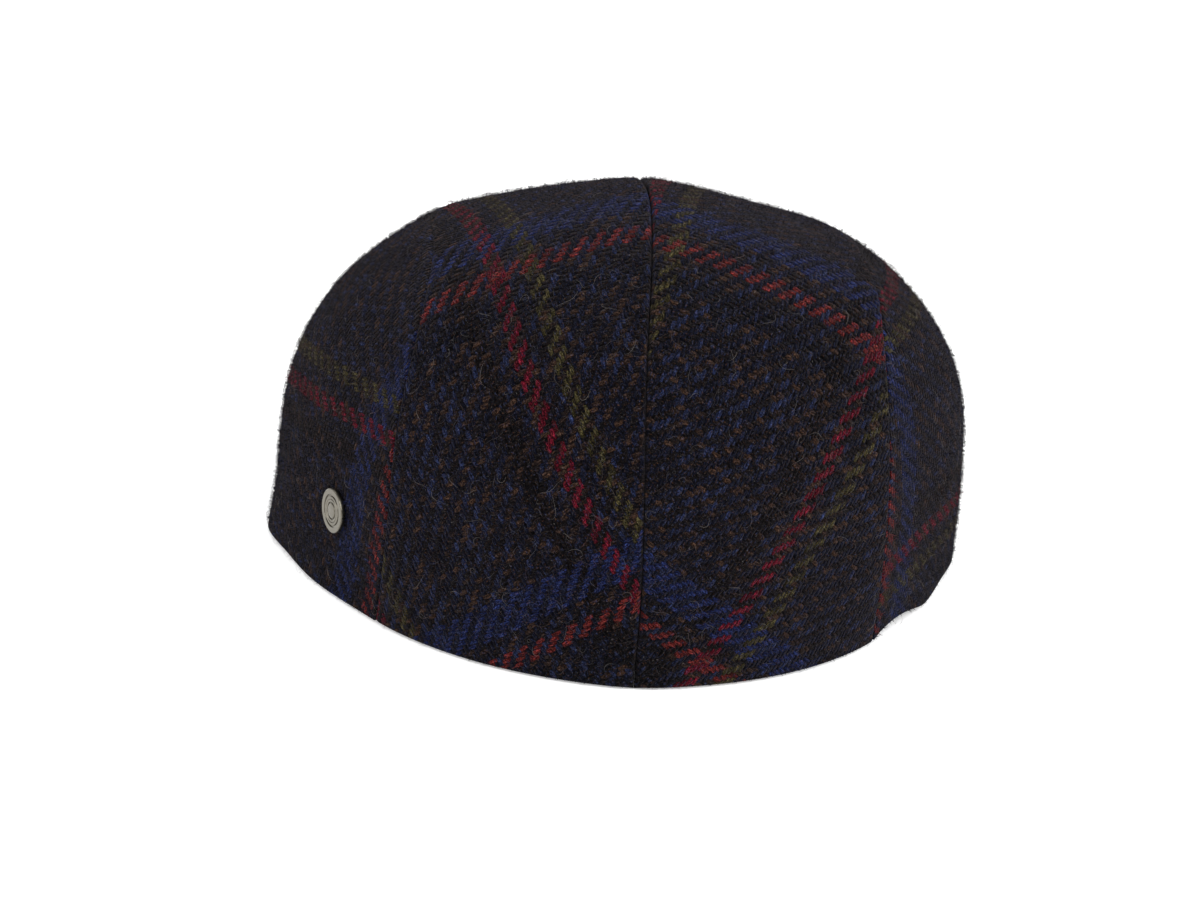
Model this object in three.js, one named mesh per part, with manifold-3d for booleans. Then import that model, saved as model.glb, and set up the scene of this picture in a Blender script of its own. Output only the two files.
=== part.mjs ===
// A flat cap of four cloth panels on a stiff peak, with a small round metal badge.
// Millimetres, +Z up. The rim rests on Z = 0, the peak points to -Y and the badge is on +X,
// the wearer's left. The origin is the middle of the bottom of the whole cap.
import * as THREE from "three";
import Module from "manifold-3d";

// Cloth
const WALL = 2;
const SEAM_GAP = 0.5;
const CLOTH_COLOUR = 0x2a272d;
const CLOTH_ROUGHNESS = 0.95;

// Steps that the panels are divided into, along the cap and across each panel
const STEPS_ALONG = 40;
const TOP_STEPS_ACROSS = 8;
const SIDE_STEPS_ACROSS = 9;

// Sections from the back rim over the crown to the front edge: the centre seam, the side seams,
// the rim and the fullness. Left and right give the distance of each side seam from the middle,
// because the soft crown leans a little. The rim is alike on both sides.
// The fullness is how far the middle of a panel stands out from the straight line across it.
const SECTION_COLUMNS = [
  "name", "seamX", "seamY", "seamZ", "leftX", "rightX", "sideY", "sideZ", "rimX", "rimY",
  "topFullness", "sideFullness",
];
const SECTIONS = [
  ["back rim", 0, 124, 0, 62.5, 62.5, 87.5, 0, 62.5, 87.5, 8, 0],
  ["low back", 0, 127, 26, 61, 62.5, 93, 25.5, 78, 63, 5, -0.5],
  ["middle of the back", 1, 127, 51.5, 59.5, 61.5, 92, 52, 86.5, 42, 4, 1.5],
  ["back shoulder", 1.5, 115, 78, 55, 59.5, 80, 76, 92.5, 23.5, 4, 8],
  ["back of the crown", 0, 89, 97, 52.5, 58.5, 61, 86.5, 90, 9.5, 3, 15],
  ["summit", -1, 55, 105, 52.5, 54.5, 36.5, 90.5, 88, -5, 1, 16],
  ["crest", 0, 20, 100, 48.5, 50.5, 11, 88, 85, -20, 1, 11],
  ["middle of the slope", 0, -26, 78, 51, 51, -24, 69, 79, -38, 2.5, 11],
  ["front of the slope", 0, -70, 52, 55, 55, -56, 46, 71, -61, 3, 7],
  ["front fold", 0, -95, 34, 56, 56, -76, 28, 62, -76, 4.5, 3],
  ["front edge", 0, -101, 15, 55, 55, -82, 8, 55, -82, 5, 0],
].map((row) => Object.fromEntries(row.map((value, i) => [SECTION_COLUMNS[i], value])));
const LAST = SECTIONS.length - 1;

// The side panels are fuller towards the crown than towards the rim
const SIDE_SKEW = 0.15;
// The side panels stop short of their pointed corners, in sections
const CORNER_LENGTH = { back: 0.08, front: 0.3 };
// The cloth turns upright over this length at the back rim and the front edge, in sections
const HEM_LENGTH = 0.5;

// The loose rim of the right side panel lifts off the floor beside the side seam
const RIM_LIFT = { hand: -1, section: 0.45, spread: 0.75, height: 2.6 };

// Peak: half rings of two ellipses about one centre, arched across and sloping to the front
const PEAK_CENTRE_Y = -22;
const PEAK_OUTER = { x: 80.5, y: 106 };
const PEAK_INNER = { x: 72, y: 45 };
const PEAK_THICKNESS = 3.4;
const PEAK_ARCH = 0.00288;
const PEAK_SLOPE = 0.08;
const PEAK_STEPS = { around: 40, across: 6 };
// The rim climbs from the floor to the top of the peak between these two places
const RAMP_BACK_Y = 12;
const RAMP_FRONT_Y = -25;

// Badge: a turned disc in front of the cloth, a post through it and a keeper behind it
const BADGE_SECTION = 1.75;
const BADGE_ACROSS = 0.5;
const BADGE_SIDES = 32;
const BADGE_COLOUR = 0xb9b3a4;
const BADGE_ROUGHNESS = 0.35;
const BADGE_GAP = 0.5;
const DISC_RADIUS = 5.7;
const DISC_THICKNESS = 1.3;
const EDGE_BEVEL = 0.3;
const GROOVE_DEPTH = 0.3;
const OUTER_GROOVE = { from: 3.7, to: 4.2 };
const INNER_GROOVE = { from: 1.9, to: 2.3 };
const POST_RADIUS = 1;
const POST_CLEARANCE = 0.4;
const KEEPER_RADIUS = 3;
const KEEPER_THICKNESS = 0.8;

const up = new THREE.Vector3(0, 0, 1);
const clamp = THREE.MathUtils.clamp;

// Smooth curves through the sections
const through = (...columns) => new THREE.CatmullRomCurve3(
  SECTIONS.map((s) => new THREE.Vector3(...columns.map((c) => (c ? s[c] : 0)))), false, "catmullrom", 0.5);
const CENTRE_SEAM = through("seamX", "seamY", "seamZ");
const LEFT_SEAM = through("leftX", "sideY", "sideZ");
const RIGHT_SEAM = through("rightX", "sideY", "sideZ");
const RIM = through("rimX", "rimY", null);
const FULLNESS = through("topFullness", "sideFullness", null);
const at = (curve, section) => curve.getPoint(clamp(section / LAST, 0, 1));

// Top surface of the peak; the lowest places of its outer edge, near the tips, stand on the floor
const ARCH_HEIGHT = PEAK_ARCH * PEAK_OUTER.x ** 2;
const TIP_RISE = (PEAK_SLOPE * PEAK_OUTER.y) ** 2 / (4 * ARCH_HEIGHT);
const PEAK_HEIGHT = PEAK_THICKNESS + ARCH_HEIGHT + TIP_RISE;
const peakTop = (x, y) => PEAK_HEIGHT - PEAK_ARCH * x ** 2 + PEAK_SLOPE * (y - PEAK_CENTRE_Y);

// Height of the rim: on the floor at the back, on the peak at the front
function rimHeight(x, y) {
  const onPeak = THREE.MathUtils.smoothstep(-y, -RAMP_BACK_Y, -RAMP_FRONT_Y);
  return onPeak * (peakTop(x, y) + SEAM_GAP);
}

// How far the loose part of the rim is lifted
function looseLift(section, hand) {
  if (hand !== RIM_LIFT.hand) return 0;
  const away = clamp(Math.abs(section - RIM_LIFT.section) / RIM_LIFT.spread, 0, 1);
  return RIM_LIFT.height * (1 - away ** 2) ** 2;
}

function centreSeam(section) {
  return at(CENTRE_SEAM, section);
}

function sideSeam(section, hand) {
  const p = at(hand > 0 ? LEFT_SEAM : RIGHT_SEAM, section);
  p.x *= hand;
  return p;
}

function rim(section, hand) {
  const p = at(RIM, section);
  p.z = rimHeight(p.x, p.y);
  p.x *= hand;
  return p;
}

// A point of a panel between two edges, standing out by its fullness in the middle
function panelPoint(edgeA, edgeB, fullness, skew, section, u, hand) {
  const step = 0.05;
  const a = edgeA(section, hand);
  const b = edgeB(section, hand);
  const chord = b.clone().sub(a);
  const along = edgeA(section + step, hand).add(edgeB(section + step, hand))
    .sub(edgeA(section - step, hand)).sub(edgeB(section - step, hand));
  const outward = along.cross(chord).multiplyScalar(hand).normalize();
  const swell = fullness * 4 * u * (1 - u) * (1 + skew * (1 - 2 * u));
  return a.addScaledVector(chord, u).addScaledVector(outward, swell);
}

// Top panel: u runs from the centre seam to the side seam
function topPoint(section, u, hand) {
  const raw = (s) => panelPoint(centreSeam, sideSeam, at(FULLNESS, s).x, 0, s, u, hand);
  const p = raw(section);
  const backEnd = raw(0);
  const frontEnd = raw(LAST);
  const nearBack = clamp(1 - section, 0, 1) ** 2;
  const nearFront = clamp(section - LAST + 1, 0, 1) ** 2;
  p.z -= backEnd.z * nearBack;
  p.z += (rimHeight(frontEnd.x, frontEnd.y) - frontEnd.z) * nearFront;
  return p;
}

// Side panel: u runs from the side seam to the rim
function sidePoint(section, u, hand) {
  const p = panelPoint(sideSeam, rim, at(FULLNESS, section).y, SIDE_SKEW, section, u, hand);
  p.z += looseLift(section, hand) * u ** 2;
  return p;
}

// Outward direction of a panel at a point
function outwardOf(point, section, u, hand) {
  const ds = 0.04;
  const du = 0.03;
  const s = clamp(section, ds, LAST - ds);
  const v = clamp(u, du, 1 - du);
  const along = point(s + ds, v, hand).sub(point(s - ds, v, hand));
  const across = point(s, v + du, hand).sub(point(s, v - du, hand));
  return along.cross(across).multiplyScalar(hand).normalize();
}

// The cloth stands upright at its two ends, so its edge is level there
function upright(direction, section) {
  direction.z *= clamp(Math.min(section, LAST - section) / HEM_LENGTH, 0, 1);
  return direction.normalize();
}

// Directions that both panels beside a seam share
function centreSeamOutward(section) {
  const direction = outwardOf(topPoint, section, 0, 1).add(outwardOf(topPoint, section, 0, -1));
  return upright(direction.normalize(), section);
}

function sideSeamOutward(section, hand) {
  const direction = outwardOf(topPoint, section, 1, hand).add(outwardOf(sidePoint, section, 0, hand));
  return upright(direction.normalize(), section);
}

// Closed solid between two grids of points, front[i][j] and back[i][j]
function solidBetween(front, back) {
  const rows = front.length;
  const columns = front[0].length;
  const points = [...front.flat(), ...back.flat()];
  const index = [];
  const f = (i, j) => i * columns + j;
  const b = (i, j) => rows * columns + f(i, j);
  const quad = (p, q, r, s) => index.push(p, q, r, p, r, s);
  for (let i = 0; i < rows - 1; i++) {
    for (let j = 0; j < columns - 1; j++) {
      quad(f(i, j), f(i + 1, j), f(i + 1, j + 1), f(i, j + 1));
      quad(b(i, j), b(i, j + 1), b(i + 1, j + 1), b(i + 1, j));
    }
    quad(f(i, 0), b(i, 0), b(i + 1, 0), f(i + 1, 0));
    quad(f(i, columns - 1), f(i + 1, columns - 1), b(i + 1, columns - 1), b(i, columns - 1));
  }
  for (let j = 0; j < columns - 1; j++) {
    quad(f(0, j), f(0, j + 1), b(0, j + 1), b(0, j));
    quad(f(rows - 1, j), b(rows - 1, j), b(rows - 1, j + 1), f(rows - 1, j + 1));
  }
  return geometryOf(points, index);
}

function geometryOf(points, index) {
  const geometry = new THREE.BufferGeometry();
  geometry.setAttribute("position", new THREE.Float32BufferAttribute(points.flatMap((p) => p.toArray()), 3));
  geometry.setIndex(index);
  return geometry;
}

// Grids of a left panel face outward as they are; a right panel is its mirror image
const facing = (grid, hand) => (hand > 0 ? grid : grid.map((row) => [...row].reverse()));

function topPanel(hand) {
  const outer = [];
  const inner = [];
  for (let i = 0; i <= STEPS_ALONG; i++) {
    const section = (LAST * i) / STEPS_ALONG;
    const margin = SEAM_GAP / 2 / centreSeam(section).distanceTo(sideSeam(section, hand));
    const outerRow = [];
    const innerRow = [];
    for (let j = 0; j <= TOP_STEPS_ACROSS; j++) {
      const u = margin + (1 - 2 * margin) * (j / TOP_STEPS_ACROSS);
      const p = topPoint(section, u, hand);
      let outward = upright(outwardOf(topPoint, section, u, hand), section);
      if (j === 0) outward = centreSeamOutward(section);
      if (j === TOP_STEPS_ACROSS) outward = sideSeamOutward(section, hand);
      const q = p.clone().addScaledVector(outward, -WALL);
      if (i === 0 || i === STEPS_ALONG) q.z = rimHeight(q.x, q.y);
      outerRow.push(p);
      innerRow.push(q);
    }
    outer.push(outerRow);
    inner.push(innerRow);
  }
  return solidBetween(facing(outer, hand), facing(inner, hand));
}

function sidePanel(hand) {
  const outer = [];
  const inner = [];
  for (let i = 0; i <= STEPS_ALONG; i++) {
    const section = clamp((LAST * i) / STEPS_ALONG, CORNER_LENGTH.back, LAST - CORNER_LENGTH.front);
    const margin = SEAM_GAP / 2 / sideSeam(section, hand).distanceTo(rim(section, hand));
    const outerRow = [];
    const innerRow = [];
    for (let j = 0; j <= SIDE_STEPS_ACROSS; j++) {
      const u = margin + (1 - margin) * (j / SIDE_STEPS_ACROSS);
      const p = sidePoint(section, u, hand);
      const isRim = j === SIDE_STEPS_ACROSS;
      let outward = outwardOf(sidePoint, section, u, hand);
      if (j === 0) outward = sideSeamOutward(section, hand);
      if (isRim) outward.setZ(0).normalize();
      const q = p.clone().addScaledVector(outward, -WALL);
      if (isRim) q.z = rimHeight(q.x, q.y) + looseLift(section, hand);
      outerRow.push(p);
      innerRow.push(q);
    }
    outer.push(outerRow);
    inner.push(innerRow);
  }
  return solidBetween(facing(outer, hand), facing(inner, hand));
}

function peakGeometry() {
  const top = [];
  const bottom = [];
  for (let i = 0; i <= PEAK_STEPS.around; i++) {
    const angle = (Math.PI * i) / PEAK_STEPS.around;
    const topRow = [];
    const bottomRow = [];
    for (let j = 0; j <= PEAK_STEPS.across; j++) {
      const k = j / PEAK_STEPS.across;
      const x = THREE.MathUtils.lerp(PEAK_OUTER.x, PEAK_INNER.x, k) * Math.cos(angle);
      const y = PEAK_CENTRE_Y - THREE.MathUtils.lerp(PEAK_OUTER.y, PEAK_INNER.y, k) * Math.sin(angle);
      const z = peakTop(x, y);
      topRow.push(new THREE.Vector3(x, y, z));
      bottomRow.push(new THREE.Vector3(x, y, z - PEAK_THICKNESS));
    }
    top.push(topRow);
    bottom.push(bottomRow);
  }
  return solidBetween(bottom, top);
}

// Solid turned about Z from a profile of [radius, height] that starts and ends on the axis
function turned(profile, sides) {
  const points = [new THREE.Vector3(0, 0, profile[0][1])];
  const index = [];
  const rings = profile.slice(1, -1);
  const ringStart = (i) => 1 + i * sides;
  for (const [radius, height] of rings) {
    for (let k = 0; k < sides; k++) {
      const angle = (2 * Math.PI * k) / sides;
      points.push(new THREE.Vector3(radius * Math.cos(angle), radius * Math.sin(angle), height));
    }
  }
  const last = points.push(new THREE.Vector3(0, 0, profile[profile.length - 1][1])) - 1;
  for (let k = 0; k < sides; k++) {
    const next = (k + 1) % sides;
    index.push(0, ringStart(0) + next, ringStart(0) + k);
    for (let i = 0; i < rings.length - 1; i++) {
      const a = ringStart(i);
      const b = ringStart(i + 1);
      index.push(a + k, a + next, b + next, a + k, b + next, b + k);
    }
    const end = ringStart(rings.length - 1);
    index.push(last, end + k, end + next);
  }
  return geometryOf(points, index);
}

// Place of the badge: Z of the turned solid lies along the outward direction of the cloth
function badgePlace() {
  const outward = outwardOf(sidePoint, BADGE_SECTION, BADGE_ACROSS, 1);
  const turn = new THREE.Quaternion().setFromUnitVectors(up, outward);
  return new THREE.Matrix4().compose(
    sidePoint(BADGE_SECTION, BADGE_ACROSS, 1), turn, new THREE.Vector3(1, 1, 1));
}

function badgeGeometry() {
  const under = BADGE_GAP;
  const face = under + DISC_THICKNESS;
  const floor = face - GROOVE_DEPTH;
  const keeperFront = -WALL - BADGE_GAP;
  const keeperBack = keeperFront - KEEPER_THICKNESS;
  const profile = [
    [0, keeperBack],
    [KEEPER_RADIUS, keeperBack],
    [KEEPER_RADIUS, keeperFront],
    [POST_RADIUS, keeperFront],
    [POST_RADIUS, under],
    [DISC_RADIUS - EDGE_BEVEL, under],
    [DISC_RADIUS, under + EDGE_BEVEL],
    [DISC_RADIUS, face - EDGE_BEVEL],
    [DISC_RADIUS - EDGE_BEVEL, face],
    [OUTER_GROOVE.to, face],
    [OUTER_GROOVE.to, floor],
    [OUTER_GROOVE.from, floor],
    [OUTER_GROOVE.from, face],
    [INNER_GROOVE.to, face],
    [INNER_GROOVE.to, floor],
    [INNER_GROOVE.from, floor],
    [INNER_GROOVE.from, face],
    [0, face],
  ];
  return turned(profile, BADGE_SIDES).applyMatrix4(badgePlace());
}

// Hole through the left side panel for the post of the badge
function postHole() {
  const radius = POST_RADIUS + POST_CLEARANCE;
  const profile = [[0, -2 * WALL], [radius, -2 * WALL], [radius, WALL], [0, WALL]];
  return turned(profile, BADGE_SIDES).applyMatrix4(badgePlace());
}

const wasm = await Module();
wasm.setup();

function cut(geometry, tool) {
  const solid = (g) => new wasm.Manifold(new wasm.Mesh({
    numProp: 3,
    vertProperties: new Float32Array(g.getAttribute("position").array),
    triVerts: new Uint32Array(g.getIndex().array),
  }));
  const mesh = solid(geometry).subtract(solid(tool)).getMesh();
  const result = new THREE.BufferGeometry();
  result.setAttribute("position", new THREE.Float32BufferAttribute(mesh.vertProperties, 3));
  result.setIndex([...mesh.triVerts]);
  return result;
}

function piece(name, geometry, colour, roughness, metalness) {
  geometry.computeVertexNormals();
  const material = new THREE.MeshStandardMaterial({ color: colour, roughness, metalness });
  const mesh = new THREE.Mesh(geometry, material);
  mesh.name = name;
  return mesh;
}
const cloth = (name, geometry) => piece(name, geometry, CLOTH_COLOUR, CLOTH_ROUGHNESS, 0);

const cap = new THREE.Group();
cap.name = "flat_cap";
cap.add(cloth("crown_top_left", topPanel(1)));
cap.add(cloth("crown_top_right", topPanel(-1)));
cap.add(cloth("crown_side_left", cut(sidePanel(1), postHole())));
cap.add(cloth("crown_side_right", sidePanel(-1)));
cap.add(cloth("peak", peakGeometry()));
cap.add(piece("badge", badgeGeometry(), BADGE_COLOUR, BADGE_ROUGHNESS, 1));

export default cap;
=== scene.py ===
# A flat cap of checked tweed with a small round metal badge, standing on a pale floor.
# The peak points to -Y, the badge is on +X, the wearer's left, and the camera is behind, at +Y.
import math

import bpy
import numpy as np
from mathutils import Matrix, Vector, noise


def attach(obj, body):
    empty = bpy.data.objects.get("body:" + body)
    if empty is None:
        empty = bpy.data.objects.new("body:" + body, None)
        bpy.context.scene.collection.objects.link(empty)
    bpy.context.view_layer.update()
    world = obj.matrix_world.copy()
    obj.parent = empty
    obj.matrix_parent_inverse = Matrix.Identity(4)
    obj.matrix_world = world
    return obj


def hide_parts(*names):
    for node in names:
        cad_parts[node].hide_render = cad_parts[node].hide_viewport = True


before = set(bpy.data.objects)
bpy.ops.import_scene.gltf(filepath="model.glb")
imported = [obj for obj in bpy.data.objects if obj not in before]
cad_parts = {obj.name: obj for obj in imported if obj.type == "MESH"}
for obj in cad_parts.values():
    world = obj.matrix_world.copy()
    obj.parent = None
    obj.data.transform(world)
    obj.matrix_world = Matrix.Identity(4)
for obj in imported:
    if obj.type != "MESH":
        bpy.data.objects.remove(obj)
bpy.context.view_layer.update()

MM = 0.001
BODY = "root"

# Sections from the back rim over the crown to the front edge, in millimetres: the centre seam,
# the side seams left and right of the middle, the rim, and how full the panels stand
SECTIONS = np.array([
    # seam x, y, z | left x, right x, side y, z | rim x, y | top fullness, side fullness
    (0, 124, 0, 62.5, 62.5, 87.5, 0, 62.5, 87.5, 8, 0),
    (0, 127, 26, 61, 62.5, 93, 25.5, 78, 63, 5, -0.5),
    (1, 127, 51.5, 59.5, 61.5, 92, 52, 86.5, 42, 4, 1.5),
    (1.5, 115, 78, 55, 59.5, 80, 76, 92.5, 23.5, 4, 8),
    (0, 89, 97, 52.5, 58.5, 61, 86.5, 90, 9.5, 3, 15),
    (-1, 55, 105, 52.5, 54.5, 36.5, 90.5, 88, -5, 1, 16),
    (0, 20, 100, 48.5, 50.5, 11, 88, 85, -20, 1, 11),
    (0, -26, 78, 51, 51, -24, 69, 79, -38, 2.5, 11),
    (0, -70, 52, 55, 55, -56, 46, 71, -61, 3, 7),
    (0, -95, 34, 56, 56, -76, 28, 62, -76, 4.5, 3),
    (0, -101, 15, 55, 55, -82, 8, 55, -82, 5, 0),
], float)
SEAM_X, SEAM_Y, SEAM_Z, LEFT_X, RIGHT_X, SIDE_Y, SIDE_Z, RIM_X, RIM_Y, TOP_FULL, SIDE_FULL = range(11)
LAST = len(SECTIONS) - 1
SIDE_SKEW = 0.15
SIDE_BACK_END = 0.03
SIDE_FRONT_END = LAST - 0.3
SIDE_PATTERN_ENDS = (0.05, LAST - 0.1)

# Cloth wall, seams and hems, in millimetres
WALL = 2.0
SEAM_GAP = 0.5
HEM_ROUND = 0.92
UPRIGHT_LENGTH = 0.5
CENTRE_GAP = 0.8
SIDE_GAP = 0.12
CENTRE_ALLOWANCE = 0.48
SIDE_ALLOWANCE = 0.6
ALLOWANCE_WIDTH = 3.0
CENTRE_ROLL = 1.3
SIDE_ROLL = 0.4
SEAM_ROLL_WIDTH = 1.3
SEAM_DIP_WIDTH = 3.5
SEAM_DIP_SHARE = 0.3
SEAM_TURN_WIDTH = 8.0
RIM_TURN_WIDTH = 4.0
PUCKER_DEPTH = 0.16
PUCKER_PITCH = 8.5
PUCKER_REACH = 9.0
PUCKER_START = 2.0
SHORT_WAVE = 32
LONG_WAVE = 19
LONG_WAVE_SHARE = 0.6
SWELL_DEPTH = 0.55
SWELL_SIZE = 34.0
FLAT_AT_ENDS = 12.0
FLAT_AT_SEAMS = 14.0

# Loose rim of the right side panel
LIFT_SECTION = 0.45
LIFT_SPREAD = 0.75
LIFT_HEIGHT = 2.6

# Peak: half rings of two ellipses, arched across and sloping to the front
PEAK_CENTRE_Y = -22.0
PEAK_OUTER_X = 80.5
PEAK_OUTER_Y = 106.0
PEAK_INNER_X = 72.0
PEAK_INNER_Y = 45.0
PEAK_THICKNESS = 3.4
PEAK_ARCH = 0.00288
PEAK_SLOPE = 0.08
PEAK_FIRST_PICK = 34
RAMP_BACK_Y = 12.0
RAMP_FRONT_Y = -25.0
ARCH_HEIGHT = PEAK_ARCH * PEAK_OUTER_X ** 2
TIP_RISE = (PEAK_SLOPE * PEAK_OUTER_Y) ** 2 / (4 * ARCH_HEIGHT)
PEAK_HEIGHT = PEAK_THICKNESS + ARCH_HEIGHT + TIP_RISE

# Badge, in millimetres
BADGE_SECTION = 1.75
BADGE_ACROSS = 0.5
BADGE_GAP = 0.5
BADGE_RADIUS = 5.7
BADGE_THICKNESS = 1.3
BADGE_SIDES = 96
BADGE_CREASE = 28
POST_RADIUS = 1.0
KEEPER_RADIUS = 3.0
KEEPER_THICKNESS = 0.8
# Engraved rings: inner radius, outer radius and depth
RINGS = ((3.7, 4.2, 0.3), (2.85, 3.1, 0.12), (1.9, 2.3, 0.3))
RING_LIP = 0.07

# Yarns
END_PITCH = 1.08
PICK_PITCH = 1.28
REPEAT_ENDS = 60
REPEAT_PICKS = 72
# Stripes of the warp and bars of the weft: the middle yarn of each in one repeat and half its width
RED_STRIPE = (1.5, 1.6)
OLIVE_STRIPE = (9.5, 1.6)
BLACK_STRIPE = (REPEAT_ENDS - 6.5, 1.6)
BRIGHT_BAR = (1.5, 1.6)
BLACK_BAR = (9.5, 1.6)
BLUE_BAR = (REPEAT_PICKS - 8.5, 3.6)

# How each panel was laid on the cloth: the way across the stripes and the way down along them, in
# degrees on the flat panel, the place in millimetres where the red stripe meets the bright bar, and
# how the cloth gave on the far side of that stripe
LAYS = {
    "top_left": (28.3, -63.0, (-44.0, 78.5), 0.9),
    "top_right": (-31.5, -121.0, (66.2, 60.0), 1.0),
    "side_left": (82.8, -24.9, (7.1, 22.5), 1.0),
    "side_right": (-74.0, -161.6, (3.7, -5.2), 1.0),
}
# The cloth of the top panels was drawn in towards the back rim when it was steamed to shape
EASE_START = 0.77
EASE_GAIN = 0.24
EASE_LENGTH = 93.0
EASE_BEFORE = -20


def through(columns, section):
    """Smooth curve through the sections."""
    rows = SECTIONS[:, columns]
    rows = np.vstack([2 * rows[0] - rows[1], rows, 2 * rows[-1] - rows[-2]])
    section = np.clip(np.asarray(section, float), 0, LAST)
    i = np.minimum(section.astype(int), LAST - 1)
    k = (section - i)[..., None]
    before, start, end, after = rows[i], rows[i + 1], rows[i + 2], rows[i + 3]
    leave = (end - before) / 2
    arrive = (after - start) / 2
    cubic = 2 * start - 2 * end + leave + arrive
    square = 3 * end - 3 * start - 2 * leave - arrive
    return ((cubic * k + square) * k + leave) * k + start


def unit(v):
    return v / np.maximum(np.linalg.norm(v, axis=-1, keepdims=True), 1e-9)


def near_edge(distance, width):
    """One at an edge, falling to nothing over a width."""
    return np.clip(1 - distance / width, 0, 1)


def off_edge(distance, width):
    """Nothing at an edge, growing to one over a width."""
    return np.clip(distance / width, 0, 1)


def peak_top(x, y):
    return PEAK_HEIGHT - PEAK_ARCH * x ** 2 + PEAK_SLOPE * (y - PEAK_CENTRE_Y)


def rim_height(x, y):
    k = np.clip((RAMP_BACK_Y - y) / (RAMP_BACK_Y - RAMP_FRONT_Y), 0, 1)
    return k * k * (3 - 2 * k) * (peak_top(x, y) + SEAM_GAP)


def loose_lift(section, hand):
    away = np.clip(np.abs(section - LIFT_SECTION) / LIFT_SPREAD, 0, 1)
    return LIFT_HEIGHT * (1 - away ** 2) ** 2 * (hand < 0)


def centre_seam(section, hand):
    return through([SEAM_X, SEAM_Y, SEAM_Z], section)


def side_seam(section, hand):
    p = through([LEFT_X if hand > 0 else RIGHT_X, SIDE_Y, SIDE_Z], section)
    return p * (hand, 1, 1)


def rim(section, hand):
    p = through([RIM_X, RIM_Y], section)
    x, y = p[..., 0], p[..., 1]
    return np.stack([hand * x, y, rim_height(x, y)], -1)


def panel_point(edge_a, edge_b, fullness, skew, section, u, hand):
    step = 0.05
    a = edge_a(section, hand)
    b = edge_b(section, hand)
    later = edge_a(section + step, hand) + edge_b(section + step, hand)
    sooner = edge_a(section - step, hand) + edge_b(section - step, hand)
    outward = unit(np.cross(later - sooner, b - a) * hand)
    full = through([fullness], section)
    u = np.asarray(u, float)[..., None]
    return a + (b - a) * u + outward * full * 4 * u * (1 - u) * (1 + skew * (1 - 2 * u))


def top_point(section, u, hand):
    def raw(s):
        return panel_point(centre_seam, side_seam, TOP_FULL, 0, s, u, hand)
    section = np.asarray(section, float)
    p = raw(section)
    back_end = raw(np.zeros_like(section))
    front_end = raw(np.full_like(section, LAST))
    p[..., 2] -= back_end[..., 2] * np.clip(1 - section, 0, 1) ** 2
    seat = rim_height(front_end[..., 0], front_end[..., 1]) - front_end[..., 2]
    p[..., 2] += seat * np.clip(section - LAST + 1, 0, 1) ** 2
    return p


def side_point(section, u, hand):
    section = np.asarray(section, float)
    p = panel_point(side_seam, rim, SIDE_FULL, SIDE_SKEW, section, u, hand)
    p[..., 2] += loose_lift(section, hand) * np.asarray(u) ** 2
    return p


def outward_of(point, section, u, hand):
    ds = 0.04
    du = 0.03
    s = np.clip(section, ds, LAST - ds)
    v = np.clip(u, du, 1 - du)
    along = point(s + ds, v, hand) - point(s - ds, v, hand)
    across = point(s, v + du, hand) - point(s, v - du, hand)
    return unit(np.cross(along, across) * hand)


def upright(direction, section):
    near_end = np.minimum(section, LAST - section) / UPRIGHT_LENGTH
    made = direction.copy()
    made[..., 2] *= np.clip(near_end, 0, 1)
    return unit(made)


def centre_seam_outward(section):
    edge = np.zeros_like(section)
    both = outward_of(top_point, section, edge, 1) + outward_of(top_point, section, edge, -1)
    return upright(unit(both), section)


def side_seam_outward(section, hand):
    edge = np.zeros_like(section)
    both = outward_of(top_point, section, edge + 1, hand) + outward_of(side_point, section, edge, hand)
    return upright(unit(both), section)


def crowded(count, crowding):
    """Steps from 0 to 1 that crowd at both ends."""
    x = np.linspace(0, 1, count)
    return x - crowding * np.sin(2 * math.pi * x) / (2 * math.pi)


def swell(points, size, seed):
    """Slow hollows and swellings of the soft cloth, about -1 to 1."""
    shift = Vector((seed * 7.3, seed * 3.1, seed * 5.7))
    values = [noise.noise(Vector(p) / size + shift) for p in points.reshape(-1, 3).tolist()]
    return 1.6 * np.array(values).reshape(points.shape[:-1])


def seam_sink(distance, depth):
    """How far the cloth sinks beside a seam, by the distance from it."""
    roll = near_edge(distance, SEAM_ROLL_WIDTH) ** 2
    return depth * (roll + SEAM_DIP_SHARE * np.exp(-(distance / SEAM_DIP_WIDTH) ** 2))


def hem_turn(distance):
    """How far both faces close on each other at a turned edge."""
    left = np.clip(HEM_ROUND - distance, 0, HEM_ROUND)
    return HEM_ROUND - np.sqrt(np.maximum(HEM_ROUND ** 2 - left ** 2, 0))


def lerp_to(values, target, weight):
    return unit(values * (1 - weight[..., None]) + target * weight[..., None])


def pucker(distance, section, phase):
    """Small waves beside a sewn seam, which fade away from it."""
    wave = np.sin(section * 2 * math.pi * SHORT_WAVE / PUCKER_PITCH + phase)
    wave += LONG_WAVE_SHARE * np.sin(section * 2 * math.pi * LONG_WAVE / PUCKER_PITCH + 2.1 * phase)
    fade = np.exp(-(distance / PUCKER_REACH) ** 2)
    return PUCKER_DEPTH * wave * fade * off_edge(distance, PUCKER_START)


def deselect():
    bpy.ops.object.select_all(action="DESELECT")


def only(obj):
    deselect()
    obj.select_set(True)
    bpy.context.view_layer.objects.active = obj


def edit_all():
    bpy.ops.object.mode_set(mode="EDIT")
    bpy.ops.mesh.select_all(action="SELECT")


def object_mode():
    bpy.ops.object.mode_set(mode="OBJECT")


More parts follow.
